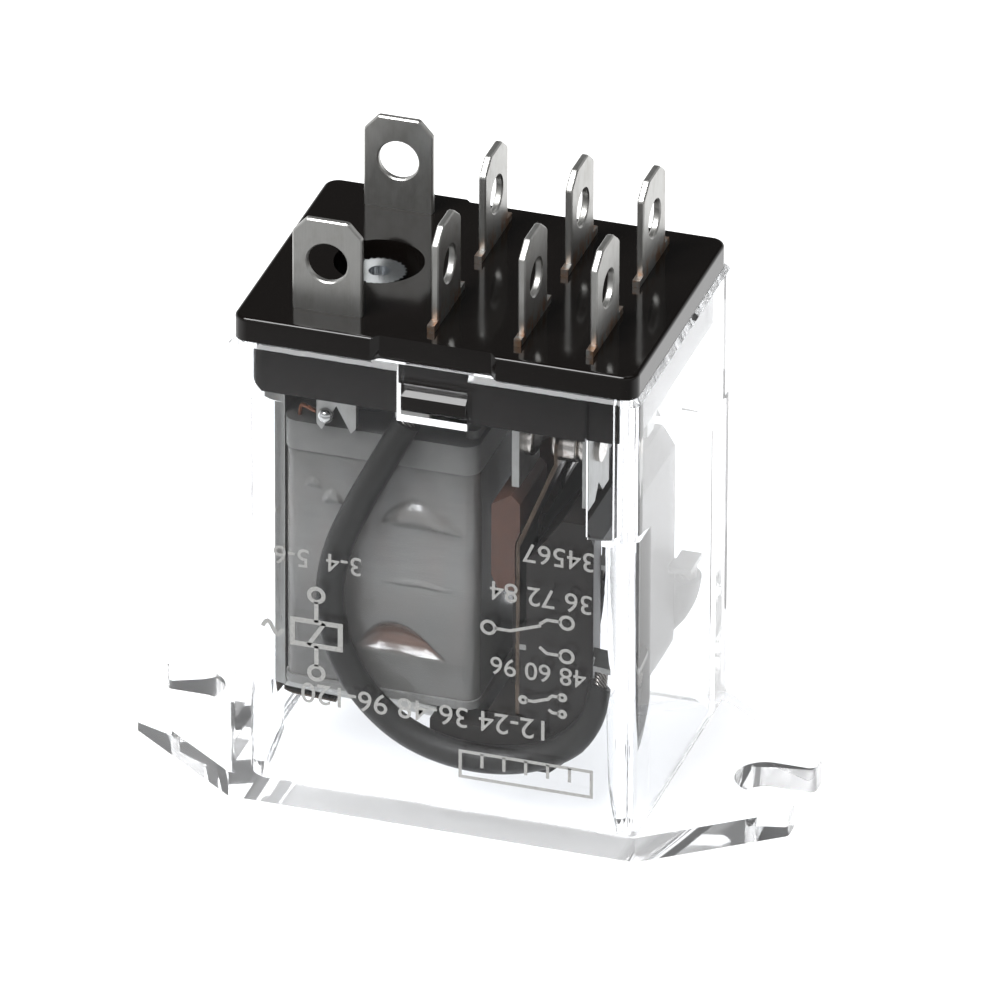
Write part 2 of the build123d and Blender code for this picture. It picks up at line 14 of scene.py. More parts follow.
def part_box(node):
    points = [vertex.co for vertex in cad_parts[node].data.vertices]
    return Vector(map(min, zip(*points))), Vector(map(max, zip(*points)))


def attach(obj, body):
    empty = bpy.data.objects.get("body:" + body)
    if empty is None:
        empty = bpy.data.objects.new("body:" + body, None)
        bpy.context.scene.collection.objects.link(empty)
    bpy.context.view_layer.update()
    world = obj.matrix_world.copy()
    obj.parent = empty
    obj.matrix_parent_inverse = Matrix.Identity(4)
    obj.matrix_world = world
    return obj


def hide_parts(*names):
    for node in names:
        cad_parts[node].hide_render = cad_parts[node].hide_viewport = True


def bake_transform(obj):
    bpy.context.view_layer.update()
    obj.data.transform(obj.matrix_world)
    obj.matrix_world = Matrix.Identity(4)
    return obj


MM = 0.001
FIXED = "housing"

CLEAR_BOUNCES = 40          # light runs this many times inside the clear walls
FROST_Z = 0.05              # below this the cover is frosted
FROST_X = (12.6, 13.4)      # the frost thins out between these distances from the middle
FROST_SHARE = (0.21, 0.06)  # share of frost under the body and under the ears
SHOULDER_Z = (35.0, 38.0)   # between these heights lie the blades' staked shoulders
CONTACT_TABS_X = -2.0       # only tabs to the right of this have browned roots

# Tape wrinkles: left and right end, lower edge, height, how far out (in if negative).
WRINKLES = [
    (-4.5, 1.3, 20.5, 2.2, 0.6),
    (-6.3, 0.1, 10.9, 2.5, -0.65),
    (-4.6, 0.9, 16.2, 0.6, 0.16),
    (-9.7, -8.4, 22.5, 0.8, 0.2),
    (-8.5, -6.9, 21.5, 1.1, 0.3),
]
WRINKLE_LEAN = 0.8          # power below 1: a wrinkle is widest a little left of its middle
WRINKLE_CREST = 1.5         # power that rounds its crest
WRINKLE_FADE = 4.0          # each end fades over one part in this many of its length
TAPE_RADIUS = 1.0
# Painted shade: the tape's colour is darkened towards both ends of this span of heights.
TAPE_SHADE_Z = (8.0, 26.0)  # the tape is darker towards both of these heights
TAPE_CORNER_STEPS = 8
TAPE_STEP = 0.12            # spacing of the tape's mesh
TAPE_SAG = 0.02
TAPE_WAVES = (2.4, 1.3)     # radians of sag per millimetre, sideways and up
TAPE_FRONT = -0.5           # where the outward direction has less y than this, the tape faces the front

# Route of the front flexible lead, as in the CAD part.
LEAD_ROUTE = [
    (-2.2, -7.8, 29.3), (-3.7, -8.2, 26.3), (-5.5, -8.25, 22.7), (-6.95, -8.25, 19.3),
    (-7.6, -8.25, 16.0), (-7.25, -8.25, 12.7), (-6.15, -8.25, 9.9), (-4.5, -8.25, 7.7),
    (-2.3, -8.25, 6.0), (0.4, -8.25, 5.1), (3.4, -8.25, 4.9), (6.3, -8.25, 5.5),
    (8.7, -8.25, 6.8), (10.2, -8.25, 8.5), (11.05, -8.05, 10.4), (11.4, -7.4, 12.6),
]
LEAD_Y = 8.25               # distance of the route's flat stretch from the middle
# Parts of a lead: name, radius, shares of the route where it starts and ends, finish.
LEAD_PARTS = [("wire", 0.6, 0.0, 1.0, "braid"), ("sleeve", 0.95, 0.003, 0.985, "black_sleeve")]
LEAD_ORDER = 3
LEAD_STEPS = 8              # mesh steps between two points of the route
LEAD_ROUNDNESS = 6

LEAF_THICKNESS = 0.2
LEAF_EDGE = 0.06            # bevel of the leaf's edges
LEAF_BEND_R = 1.6
LEAF_BEND_STEPS = 8
LEAF_TOP_ROW = 2.0          # depth of the first row of faces under the top edge
LEAF_TILT = 3.0             # degrees: the tongue slopes down with the open armature
LEAF_TIP_X = -8.5
LEAF_TONGUE = 1.6           # the tongue is this much narrower on each side
LEAF_NECK = 0.7             # share of the bend's radius below its centre where the tongue starts

# Generic print on the front wall.
PRINT_LINE = 0.22
PRINT_GAP = 0.004           # air left between the wall and the back of the print
PRINT_TOP = 0.02
PRINT_BOLD = 0.004          # how much thicker the numbers are drawn than the font
DIGIT_SHARE = 0.7           # height of a digit as a share of the font's size
LINK_LINE = 1.3             # width of the finer strokes, in print lines
COIL_LINE = 1.6             # width of the coil's frame, in print lines
COIL_MARK = (-7.9, 13.3, 1.1)          # x, z and size
CONTACT_MARKS = [(3.9, 15.9, 1.0), (6.3, 10.9, 0.5)]
WAVE_MARK = (-10.9, 13.3, 1.4, 0.45)   # x, z, length and height
WAVE_STEPS = 16
SCALE_MARK = (2.0, 11.0, 4.4, 6.3, 6)  # left, right, low, top and number of spaces
TICK_SHARE = 0.45                      # a tick ends at this share of the ruler's height
PLAIN_MARK = (0.0, 0.0, 1.0)           # for strokes that are given in their real place and size
RING_R = 0.45
RING_STEPS = 24
PRINT_NUMBERS = [
    ("3-4  5-6", -7.8, 18.9, 1.35), ("12-24 36-48 96-120", -0.4, 8.9, 1.5),
    ("34567", 8.7, 22.0, 1.4), ("36 72 84", 7.5, 18.8, 1.4), ("48 60 96", 7.3, 13.2, 1.3),
]

FLOOR_TOWARDS = (0.304, -0.953, 0.0)   # along the floor towards the camera
FLOOR_FALL = (-40.0, 80.0)             # along that direction, where the fall-off starts and ends
FLOOR_GLOW = 1.85
FLOOR_REACH = 6.0                      # metres
FLOOR_DROP = 0.00002                   # metres under the part's lowest face

# Soft boxes: name, direction, then in metres distance and size, then radiance.
LIGHTS = [("key", (-0.266, -0.485, 0.832), 0.6, 0.3, 18.0), ("top", (0.1, 0.25, 1.0), 0.8, 0.4, 1.0)]
LIGHT_AIM = (0, 0, 0.02)               # metres

CAMERA_TURN = 0.30888                  # radians to the right of the front
CAMERA_RISE = 0.50757                  # radians above the floor
CAMERA_ROLL = 0.004124                 # radians
CAMERA_TARGET = (0, 0, 0.018)          # metres
CAMERA_DISTANCE = 1.3                  # metres
CAMERA_SHIFT = (0.001328, 0.001127)    # metres to the right and up
CAMERA_LENS = 713.8
CAMERA_SENSOR = 36.0
CAMERA_CLIP = (0.05, 20.0)             # metres

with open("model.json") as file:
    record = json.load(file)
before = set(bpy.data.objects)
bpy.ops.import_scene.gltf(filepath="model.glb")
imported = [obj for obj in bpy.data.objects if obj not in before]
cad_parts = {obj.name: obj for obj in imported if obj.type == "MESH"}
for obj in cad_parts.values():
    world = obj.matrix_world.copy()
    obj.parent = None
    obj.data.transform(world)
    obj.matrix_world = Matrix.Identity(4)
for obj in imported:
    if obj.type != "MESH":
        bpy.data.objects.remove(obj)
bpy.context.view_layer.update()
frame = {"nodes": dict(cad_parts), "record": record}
nodes = frame["nodes"]
slot_of = {part["node"]: part["material_slot"] for part in frame["record"]["subparts"]}


# ---- node helpers -------------------------------------------------------------------------------
def new_material(name):
    """A node material with a Principled shader, its node tree and that shader."""
    made = bpy.data.materials.new(name)
    made.use_nodes = True
    tree = made.node_tree
    return made, tree, tree.nodes["Principled BSDF"]


def set_socket(tree, socket, value):
    """Links a socket to the input, or gives the input a plain value."""
    if isinstance(value, bpy.types.NodeSocket):
        tree.links.new(value, socket)
    else:
        socket.default_value = value


def add(tree, kind, **inputs):
    """A node of one kind, with plain values or links for its inputs, or settings of the node itself."""
    node = tree.nodes.new(kind)
    for key, value in inputs.items():
        name = key.replace("_", " ")
        if name in node.inputs:
            set_socket(tree, node.inputs[name], value)
        else:
            setattr(node, key, value)
    return node


def set_shader(tree, shader, **values):
    """Sets inputs of the shader by name."""
    for key, value in values.items():
        set_socket(tree, shader.inputs[key.replace("_", " ")], value)


def in_order(tree, node, *values):
    """Fills a node's first inputs in order and gives its first output."""
    for socket, value in zip(node.inputs, values):
        set_socket(tree, socket, value)
    return node.outputs[0]


def maths(tree, operation, *values):
    """The result of a calculation on one or two values."""
    return in_order(tree, add(tree, "ShaderNodeMath", operation=operation), *values)


def mix_shaders(tree, share, first, second):
    """Mixes two shaders by a share of the second."""
    return in_order(tree, add(tree, "ShaderNodeMixShader"), share, first, second)


def place(tree, stretch=(1, 1, 1)):
    """Object coordinates in millimetres, stretched per axis."""
    spot = add(tree, "ShaderNodeTexCoord")
    scale = add(tree, "ShaderNodeMapping", Scale=tuple(k / MM for k in stretch))
    tree.links.new(spot.outputs["Object"], scale.inputs["Vector"])
    return scale.outputs["Vector"]


def along_axis(tree, axis):
    """The object coordinate along one axis, in millimetres."""
    return add(tree, "ShaderNodeSeparateXYZ", Vector=place(tree)).outputs[axis]


def noise(tree, stretch=(1, 1, 1), scale=1.0, detail=3.0, roughness=0.5):
    """Noise in millimetres: scale is its waves per millimetre."""
    node = add(tree, "ShaderNodeTexNoise", Vector=place(tree, stretch), Scale=scale,
               Detail=detail, Roughness=roughness)
    return node.outputs["Fac"]


def bands(tree, direction, scale, distortion, detail):
    """Wavy bands across one direction."""
    node = add(tree, "ShaderNodeTexWave", Vector=place(tree), Scale=scale, Distortion=distortion,
               Detail=detail, bands_direction=direction)
    return node.outputs["Fac"]


def ramp(tree, value, stops):
    """A colour ramp; stops are (place, value or colour)."""
    node = add(tree, "ShaderNodeValToRGB", Fac=value)
    elements = node.color_ramp.elements
    while len(elements) < len(stops):
        elements.new(0.5)
    for element, (position, colour) in zip(elements, stops):
        if not isinstance(colour, tuple):
            colour = (colour, colour, colour)
        element.position = position
        element.color = (*colour, 1.0)
    return node.outputs["Color"]


def spread(tree, value, low, high, source=(0.0, 1.0)):
    """Maps the range source onto low..high."""
    node = add(tree, "ShaderNodeMapRange", Value=value, From_Min=source[0], From_Max=source[1],
               To_Min=low, To_Max=high)
    return node.outputs["Result"]


def bump(tree, height, distance, under=None):
    """A bump of the given height in millimetres, on top of another if there is one."""
    node = add(tree, "ShaderNodeBump", Height=height, Strength=1.0, Distance=distance * MM)
    if under is not None:
        tree.links.new(under, node.inputs["Normal"])
    return node.outputs["Normal"]


def blend_colours(tree, share, low, high):
    """Mixes two colours, each a tuple or a socket."""
    node = add(tree, "ShaderNodeMix", data_type="RGBA", Factor=share)
    for socket, colour in ((node.inputs[6], low), (node.inputs[7], high)):
        set_socket(tree, socket, (*colour, 1.0) if isinstance(colour, tuple) else colour)
    return node.outputs[2]


# ---- materials ----------------------------------------------------------------------------------
def clear_plastic():
    """Clear polycarbonate: smooth, with faint flow waves and fine handling marks, frosted underneath."""
    made, tree, shader = new_material("clear_plastic")
    waves = noise(tree, (1, 1, 0.35), 0.12, 1.0)
    marks = noise(tree, (9, 9, 0.7), 1.0, 4.0, 0.6)
    marked = ramp(tree, marks, [(0.62, 0.0), (0.8, 1.0)])
    normal = bump(tree, waves, 0.02)
    normal = bump(tree, marked, 0.0006, under=normal)
    set_shader(tree, shader, Base_Color=(0.97, 0.982, 1.0, 1.0), Roughness=spread(tree, marked, 0.0, 0.05),
               IOR=1.5, Specular_Tint=(0.38, 0.38, 0.38, 1.0), Transmission_Weight=1.0, Normal=normal)
    passing = add(tree, "ShaderNodeBsdfTransparent", Color=(0.97, 0.975, 0.98, 1.0))
    frost = add(tree, "ShaderNodeBsdfTranslucent", Color=(1.0, 1.0, 1.0, 1.0))
    under = maths(tree, "LESS_THAN", along_axis(tree, "Z"), FROST_Z)
    share = spread(tree, maths(tree, "ABSOLUTE", along_axis(tree, "X")), *FROST_SHARE, source=FROST_X)
    frosted = maths(tree, "MULTIPLY", under, share)
    underside = mix_shaders(tree, frosted, shader.outputs[0], frost.outputs[0])
    shadow = add(tree, "ShaderNodeLightPath").outputs["Is Shadow Ray"]
    surface = mix_shaders(tree, shadow, underside, passing.outputs[0])
    tree.links.new(surface, tree.nodes["Material Output"].inputs["Surface"])
    return made


def black_plastic():
    """Glossy black thermoset with a faint grain and a little dust."""
    made, tree, shader = new_material("black_plastic")
    grain = noise(tree, (1, 1, 1), 9.0, 5.0, 0.6)
    flow = noise(tree, (1, 0.4, 1), 0.35, 2.0)
    dust = ramp(tree, noise(tree, (1, 1, 1), 14.0, 2.0), [(0.7, 0.0), (0.78, 1.0)])
    colour = blend_colours(tree, dust, (0.005, 0.004, 0.0035), (0.03, 0.027, 0.025))
    normal = bump(tree, flow, 0.012)
    normal = bump(tree, grain, 0.0006, under=normal)
    set_shader(tree, shader, Base_Color=colour, Roughness=spread(tree, grain, 0.06, 0.14), IOR=1.5,
               Specular_IOR_Level=0.32, Normal=normal)
    return made


def black_moulding():
    """Satin black phenolic moulding with a fine pitted grain."""
    made, tree, shader = new_material("black_moulding")
    grain = noise(tree, (1, 1, 1), 7.0, 6.0, 0.65)
    colour = blend_colours(tree, grain, (0.005, 0.004, 0.0035), (0.011, 0.009, 0.008))
    set_shader(tree, shader, Base_Color=colour, Roughness=spread(tree, grain, 0.3, 0.5),
               Specular_IOR_Level=0.25, Normal=bump(tree, grain, 0.001))
    return made


def metal(name, colour, stain, roughness, lines=(1, 1, 0.05)):
    """Rolled or plated metal: fine lines along one way, cloudy stains, and a roughness that varies."""
    made, tree, shader = new_material(name)
    rolled = noise(tree, lines, 14.0, 4.0, 0.6)
    clouds = noise(tree, (1, 1, 1), 0.9, 4.0, 0.55)
    stained = ramp(tree, clouds, [(0.55, 0.0), (0.8, 1.0)])
    base = blend_colours(tree, rolled, tuple(0.86 * c for c in colour), colour)
    set_shader(tree, shader, Base_Color=blend_colours(tree, stained, base, stain), Metallic=1.0,
               Roughness=spread(tree, rolled, *roughness), Normal=bump(tree, rolled, 0.0006))
    return made


def blade_metal():
    """Tinned blade: vertical rolling lines, brownish where bare brass shows at its staked shoulders."""
    made, tree, shader = new_material("plated_blade")
    rolled = noise(tree, (1, 1, 0.04), 16.0, 4.0, 0.6)
    clouds = noise(tree, (1, 1, 0.6), 1.1, 4.0, 0.6)
    height = spread(tree, along_axis(tree, "Z"), 0.0, 1.0, source=SHOULDER_Z)
    shoulder = ramp(tree, height, [(0.28, 0.0), (0.3, 1.0), (0.48, 1.0), (0.8, 0.0)])
    contacts = maths(tree, "GREATER_THAN", along_axis(tree, "X"), CONTACT_TABS_X)
    roots = maths(tree, "MULTIPLY", shoulder, contacts)
    worn = maths(tree, "MULTIPLY", roots, ramp(tree, clouds, [(0.42, 0.0), (0.6, 1.0)]))
    base = blend_colours(tree, rolled, (0.4, 0.4, 0.39), (0.5, 0.5, 0.485))
    mottles = ramp(tree, clouds, [(0.45, 0.0), (0.75, 0.6)])
    mottled = blend_colours(tree, mottles, base, (0.33, 0.32, 0.3))
    colour = blend_colours(tree, worn, mottled, (0.42, 0.27, 0.18))
    rough = spread(tree, noise(tree, (1, 1, 0.3), 3.0, 4.0), 0.34, 0.5)
    set_shader(tree, shader, Base_Color=colour, Metallic=1.0, Roughness=rough,
               Normal=bump(tree, rolled, 0.0004))
    return made


def nylon():
    """Grey nylon with soft moulding waves."""
    made, tree, shader = new_material("nylon")
    cloud = noise(tree, (1, 1, 1), 0.8, 3.0)
    colour = blend_colours(tree, cloud, (0.1, 0.099, 0.095), (0.15, 0.149, 0.142))
    set_shader(tree, shader, Base_Color=colour, Roughness=spread(tree, cloud, 0.3, 0.45), IOR=1.52,
               Normal=bump(tree, noise(tree, (1, 1, 1), 5.0, 4.0), 0.006))
    return made


def tape_film():
    """Grey polyester tape, wound with slight wrinkles, the copper under it showing through a little, with
    painted shade towards its bottom and top.
    """
    made, tree, shader = new_material("coil_tape")
    streaks = noise(tree, (0.3, 0.3, 2.2), 1.0, 4.0, 0.6)
    turns = bands(tree, "Z", 1.2, 0.6, 2.0)
    clouds = noise(tree, (1, 1, 0.5), 0.45, 3.0)
    grey = blend_colours(tree, streaks, (0.1, 0.1, 0.095), (0.15, 0.149, 0.143))
    warmer = ramp(tree, clouds, [(0.4, 0.0), (0.75, 0.5)])
    cloudy = blend_colours(tree, warmer, grey, (0.14, 0.122, 0.112))
    # Painted shade: the tape's colour darkens towards its bottom and top heights.
    height = spread(tree, along_axis(tree, "Z"), 0.0, 1.0, source=TAPE_SHADE_Z)
    painted_shade_by_height = ramp(tree, height, [(0.05, 0.65), (0.3, 0.55), (0.48, 0.0), (0.72, 0.0), (0.95, 0.5)])
    shaded = blend_colours(tree, painted_shade_by_height, cloudy, (0.045, 0.044, 0.041))
    thin = add(tree, "ShaderNodeAttribute", attribute_name="thin")
    colour = blend_colours(tree, thin.outputs["Fac"], shaded, (0.1, 0.055, 0.04))
    normal = bump(tree, turns, 0.002)
    normal = bump(tree, streaks, 0.003, under=normal)
    set_shader(tree, shader, Base_Color=colour, Roughness=spread(tree, streaks, 0.16, 0.3), IOR=1.55,
               Coat_Weight=0.3, Coat_Roughness=0.08, Normal=normal)
    return made


def magnet_wire():
    """Enamelled copper winding: fine turns, dark red-brown and glossy."""
    made, tree, shader = new_material("magnet_wire")
    turns = bands(tree, "Z", 2.4, 0.2, 1.0)
    colour = blend_colours(tree, turns, (0.16, 0.05, 0.03), (0.42, 0.17, 0.09))
    set_shader(tree, shader, Base_Color=colour, Metallic=0.7, Roughness=0.25, Normal=bump(tree, turns, 0.03))
    return made


def sleeve():
    """Satin black sleeving with a faint woven grain and dust."""
    made, tree, shader = new_material("black_sleeve")
    grain = noise(tree, (1, 1, 1), 6.0, 5.0, 0.6)
    dust = ramp(tree, noise(tree, (1, 1, 1), 1.5, 4.0, 0.6), [(0.5, 0.0), (0.8, 0.5)])
    colour = blend_colours(tree, dust, (0.006, 0.0055, 0.005), (0.009, 0.0085, 0.008))
    set_shader(tree, shader, Base_Color=colour, Roughness=spread(tree, grain, 0.4, 0.55),
               Specular_IOR_Level=0.3, Normal=bump(tree, grain, 0.001))
    return made


def fibre():
    """Red-brown vulcanised fibre, slightly mottled."""
    made, tree, shader = new_material("fibre")
    cloud = noise(tree, (1, 1, 0.5), 2.2, 5.0, 0.65)
    colour = blend_colours(tree, cloud, (0.032, 0.014, 0.009), (0.08, 0.036, 0.024))
    set_shader(tree, shader, Base_Color=colour, Roughness=spread(tree, cloud, 0.4, 0.6),
               Normal=bump(tree, cloud, 0.006))
    return made


def braid():
    """Stranded tinned wire."""
    made, tree, shader = new_material("braid")
    strands = bands(tree, "DIAGONAL", 1.8, 1.5, 2.0)
    colour = blend_colours(tree, strands, (0.1, 0.09, 0.085), (0.3, 0.28, 0.26))
    set_shader(tree, shader, Base_Color=colour, Metallic=1.0, Roughness=0.35,
               Normal=bump(tree, strands, 0.05))
    return made


def ink():
    """Thin white pad print, a little uneven."""
    made, tree, shader = new_material("white_ink")
    grain = noise(tree, (1, 1, 1), 8.0, 4.0, 0.7)
    cover = ramp(tree, grain, [(0.3, 0.0), (0.6, 1.0)])
    colour = blend_colours(tree, cover, (0.22, 0.22, 0.215), (0.38, 0.38, 0.37))
    set_shader(tree, shader, Base_Color=colour, Roughness=0.6)
    return made


def pale_floor():
    """Pale table top, brightest behind the relay and falling off towards the camera."""
    made, tree, shader = new_material("pale_floor")
    cloud = noise(tree, (0.02, 0.02, 0.02), 1.0, 2.0)
    nearness = add(tree, "ShaderNodeVectorMath", operation="DOT_PRODUCT")
    in_order(tree, nearness, place(tree), FLOOR_TOWARDS)
    along = spread(tree, nearness.outputs["Value"], 0.0, 1.0, source=FLOOR_FALL)
    albedo = ramp(tree, along, [(0.6, 0.3), (0.88, 0.12)])
    colour = blend_colours(tree, spread(tree, cloud, 0.0, 0.06), albedo, (0.36, 0.36, 0.36))
    glow = ramp(tree, along, [(0.12, 0.72), (0.34, 0.5), (0.6, 0.42), (0.88, 0.09)])
    set_shader(tree, shader, Base_Color=colour, Roughness=0.9, Emission_Color=glow,
               Emission_Strength=FLOOR_GLOW, Specular_IOR_Level=0.0)
    return made


# For metals: colour, stain and range of roughness.
LOOKS = {
    "clear_plastic": clear_plastic(),
    "black_plastic": black_plastic(),
    "black_moulding": black_moulding(),
    "plated_blade": blade_metal(),
    "plated_steel": metal("plated_steel", (0.3, 0.3, 0.29), (0.24, 0.22, 0.19), (0.22, 0.38)),
    "core_steel": metal("core_steel", (0.66, 0.69, 0.72), (0.5, 0.5, 0.5), (0.1, 0.22)),
    "copper": metal("copper", (0.55, 0.25, 0.17), (0.28, 0.12, 0.08), (0.28, 0.45)),
    "fibre": fibre(),
    "bronze": metal("bronze", (0.1, 0.075, 0.058), (0.06, 0.042, 0.032), (0.12, 0.25)),
    "brass_rivet": metal("brass_rivet", (0.36, 0.28, 0.16), (0.2, 0.15, 0.09), (0.22, 0.36)),
    "silver_contact": metal("silver_contact", (0.72, 0.68, 0.64), (0.35, 0.25, 0.2), (0.12, 0.25)),
    "solder": metal("solder", (0.78, 0.78, 0.77), (0.5, 0.5, 0.48), (0.12, 0.3), (1, 1, 1)),
    "nylon": nylon(),
    "coil_tape": tape_film(),
    "magnet_wire": magnet_wire(),
    "black_sleeve": sleeve(),
    "braid": braid(),
}
for name, node in nodes.items():
    node.data.materials.clear()
    node.data.materials.append(LOOKS[slot_of[name]])


# ---- pieces -------------------------------------------------------------------------------------
def mesh_piece(name, mesh, slot, body, smooth=True):
    """Puts a finished mesh into the scene with its finish, riding a body."""
    piece = bpy.data.objects.new(name, mesh)
    bpy.context.scene.collection.objects.link(piece)
    if slot in LOOKS:
        mesh.materials.append(LOOKS[slot])
    if smooth:
        for face in mesh.polygons:
            face.use_smooth = True
    if body:
        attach(piece, body)
    return piece


def tube_mesh(name, rows):
    """An open tube through rows of points, each row closed on itself."""
    verts = [point for row in rows for point in row]
    wide = len(rows[0])
    faces = []
    for r in range(len(rows) - 1):
        for c in range(wide):
            nxt = (c + 1) % wide
            faces.append((r * wide + c, r * wide + nxt, (r + 1) * wide + nxt, (r + 1) * wide + c))
    mesh = bpy.data.meshes.new(name)
    mesh.from_pydata(verts, [], faces)
    mesh.update()
    return mesh


def lens(x, z, wrinkle):
    """How far a wrinkle moves the tape at (x, z), and the share of its full depth there."""
    left, right, low, height, depth = wrinkle
    along = (x - left) / (right - left)
    if not 0 < along < 1:
        return 0.0, 0.0
    half = height * math.sin(math.pi * along ** WRINKLE_LEAN) / 2
    across = (z - low - half) / max(half, 1e-6)
    if abs(across) >= 1:
        return 0.0, 0.0
    share = (1 - across * across) ** WRINKLE_CREST * min(1.0, WRINKLE_FADE * min(along, 1 - along))
    return depth * share, share


def tape_outline(low, high):
    """Evenly spaced points round the tape and their outward directions, with rounded corners."""
    radius = TAPE_RADIUS * MM
    spots = []
    for cx, cy, start in ((high.x - radius, low.y + radius, -90), (high.x - radius, high.y - radius, 0),
                          (low.x + radius, high.y - radius, 90), (low.x + radius, low.y + radius, 180)):
        for step in range(TAPE_CORNER_STEPS + 1):
            angle = math.radians(start + 90 * step / TAPE_CORNER_STEPS)
            out = Vector((math.cos(angle), math.sin(angle), 0))
            spots.append((Vector((cx, cy, 0)) + out * radius, out))
    ring = []
    for (a, out_a), (b, out_b) in zip(spots, spots[1:] + spots[:1]):
        count = max(1, round((b - a).length / (TAPE_STEP * MM)))
        for i in range(count):
            share = i / count
            ring.append((a.lerp(b, share), out_a.lerp(out_b, share).normalized()))
    return ring


def make_tape():
    """Tape round the coil and the wall beside it, with the wrinkles of a hand-wound end."""
    low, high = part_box("coil_tape")
    ring = tape_outline(low, high)
    levels = round((high.z - low.z) / (TAPE_STEP * MM))
    rows, thin = [], []
    for level in range(levels + 1):
        z = low.z + (high.z - low.z) * level / levels
        row = []
        for spot, out in ring:
            shift = hollow = 0.0
            if out.y < TAPE_FRONT:
                for wrinkle in WRINKLES:
                    moved, share = lens(spot.x / MM, z / MM, wrinkle)
                    shift += moved
                    if moved < 0:
                        hollow = max(hollow, share)
                shift += TAPE_SAG * math.sin(TAPE_WAVES[0] * spot.x / MM + TAPE_WAVES[1] * z / MM)
            row.append(tuple(spot + out * shift * MM + Vector((0, 0, z))))
            thin.append(hollow)
        rows.append(row)
    mesh = tube_mesh("coil_tape_wrap", rows)
    layer = mesh.attributes.new("thin", "FLOAT", "POINT")
    layer.data.foreach_set("value", thin)
    piece = mesh_piece("coil_tape_wrap", mesh, "coil_tape", FIXED)
    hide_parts("coil_tape")


def make_lead(side, sign):
    """Sleeved flexible lead from the common terminal, past and below the coil, to the carrier's tag."""
    for part, radius, start, end, slot in LEAD_PARTS:
        data = bpy.data.curves.new(f"{part}_route", "CURVE")
        data.dimensions = "3D"
        spline = data.splines.new("NURBS")
        spline.points.add(len(LEAD_ROUTE) - 1)
        for point, (x, y, z) in zip(spline.points, LEAD_ROUTE):
            point.co = (x * MM, -sign * y * MM, z * MM, 1.0)
        spline.order_u = LEAD_ORDER
        spline.use_endpoint_u = True
        spline.resolution_u = LEAD_STEPS
        data.bevel_depth = radius * MM
        data.bevel_resolution = LEAD_ROUNDNESS
        data.bevel_factor_start = start
        data.bevel_factor_end = end
        data.use_fill_caps = True
        holder = bpy.data.objects.new(f"{part}_route", data)
        bpy.context.scene.collection.objects.link(holder)
        bpy.context.view_layer.update()
        solved = holder.evaluated_get(bpy.context.evaluated_depsgraph_get())
        mesh = bpy.data.meshes.new_from_object(solved)
        bpy.data.objects.remove(holder)
        name = f"flexible_lead_{part}_{side}"
        mesh.name = name
        piece = mesh_piece(name, mesh, slot, None)
        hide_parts(f"lead_{part}_{side}")
        y = sign * LEAD_Y * MM
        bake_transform(piece)


def leaf_path(low, high):
    """Middle line of the hinge leaf from top to tip: points with the angle turned so far."""
    half, radius = LEAF_THICKNESS * MM / 2, LEAF_BEND_R * MM
    face = low.x + half
    centre = Vector((face + radius, 0, low.z + half + radius))
    heights = (high.z, high.z - LEAF_TOP_ROW * MM, (high.z + centre.z) / 2, centre.z)
    path = [(Vector((face, 0, z)), 0.0) for z in heights]
    for step in range(1, LEAF_BEND_STEPS + 1):
        angle = math.radians(90 * step / LEAF_BEND_STEPS)
        path.append((centre + Vector((-math.cos(angle), 0, -math.sin(angle))) * radius, angle))
    start = path[-1][0]
    reach = LEAF_TIP_X * MM - start.x
    tilt = math.radians(LEAF_TILT)
    tip = start + Vector((reach * math.cos(tilt), 0, -reach * math.sin(tilt)))
    path.append((tip, math.pi / 2 + tilt))
    return path, centre.z - radius * LEAF_NECK


def make_hinge_leaf():
    """Bent leaf on the yoke's outer face and under the armature: one strip with soft edges."""
    low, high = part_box("hinge_spring")
    path, neck_z = leaf_path(low, high)
    half, soft = LEAF_THICKNESS * MM / 2, LEAF_EDGE * MM
    rows = []
    for spot, angle in path:
        out = Vector((-math.cos(angle), 0, -math.sin(angle)))
        wide = high.y if spot.z > neck_z else high.y - LEAF_TONGUE * MM
        section = [(half, soft - wide), (half, wide - soft), (half - soft, wide), (soft - half, wide),
                   (-half, wide - soft), (-half, soft - wide), (soft - half, -wide), (half - soft, -wide)]
        rows.append([tuple(spot + out * t + Vector((0, y, 0))) for t, y in section])
    mesh = tube_mesh("hinge_leaf", rows)
    shell = bmesh.new()
    shell.from_mesh(mesh)
    bmesh.ops.holes_fill(shell, edges=[e for e in shell.edges if e.is_boundary], sides=0)
    bmesh.ops.recalc_face_normals(shell, faces=shell.faces)
    shell.to_mesh(mesh)
    shell.free()
    piece = mesh_piece("hinge_leaf", mesh, "bronze", None, smooth=False)
    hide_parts("hinge_spring")
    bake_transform(piece)


# ---- print on the front wall --------------------------------------------------------------------
def ribbon(points, width, closed):
    """Left and right border points of a flat line of even width through (x, z) points."""
    spots = [Vector(point) for point in points]
    count = len(spots)
    borders = []
    for i, spot in enumerate(spots):
        before = spots[i - 1] if closed or i else None
        after = spots[(i + 1) % count] if closed or i + 1 < count else None
        into = (spot - before).normalized() if before is not None else (after - spot).normalized()
        out = (after - spot).normalized() if after is not None else into
        side = Vector((-into.y - out.y, into.x + out.x)).normalized()
        reach = width / 2 / max(0.5, side.dot(Vector((-into.y, into.x))))
        borders.append((spot + side * reach, spot - side * reach))
    return borders


def ring_points(x, z):
    """Points round a small ring."""
    angles = [2 * math.pi * i / RING_STEPS for i in range(RING_STEPS)]
    return [(x + RING_R * math.cos(angle), z + RING_R * math.sin(angle)) for angle in angles]


